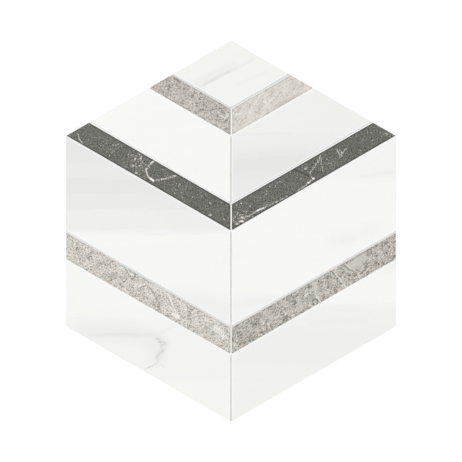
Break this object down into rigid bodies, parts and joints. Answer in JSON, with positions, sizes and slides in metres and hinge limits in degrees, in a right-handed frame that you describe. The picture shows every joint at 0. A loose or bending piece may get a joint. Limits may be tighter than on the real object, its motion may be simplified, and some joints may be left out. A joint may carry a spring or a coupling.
{
  "type": "hexagon mosaic tile",
  "caption": "Hexagonal mosaic tile of mitred white, grey and dark stone chevrons, grouted together and glued to a backing net, for bonding to a wall or floor.",
  "frame": {"origin": "middle of the hexagon on the underside of the backing net, where the tile lies on its bed", "axes": "+Z out of the tile's face, +Y along the middle seam to the corner with the white rhombus, +X to the right as the face is looked at with that corner at the top"},
  "size_m": [0.3, 0.3464, 0.0105],
  "materials": {
    "white_marble": "satin",
    "grey_marble": "satin",
    "dark_marble": "satin",
    "grout": "matte",
    "glass_fibre_net": "matte"
  },
  "bodies": {
    "root": {"top_white_rhombus": "white_marble", "upper_grey_strip_left": "grey_marble", "upper_grey_strip_right": "grey_marble", "upper_white_band_left": "white_marble", "upper_white_band_right": "white_marble", "dark_strip_left": "dark_marble", "dark_strip_right": "dark_marble", "middle_white_band_left": "white_marble", "middle_white_band_right": "white_marble", "lower_grey_strip_left": "grey_marble", "lower_grey_strip_right": "grey_marble", "lower_white_band_left": "white_marble", "lower_white_band_right": "white_marble", "joint_grout": "grout", "backing_net_left": "glass_fibre_net", "backing_net_right": "glass_fibre_net"}
  },
  "joints": []
}
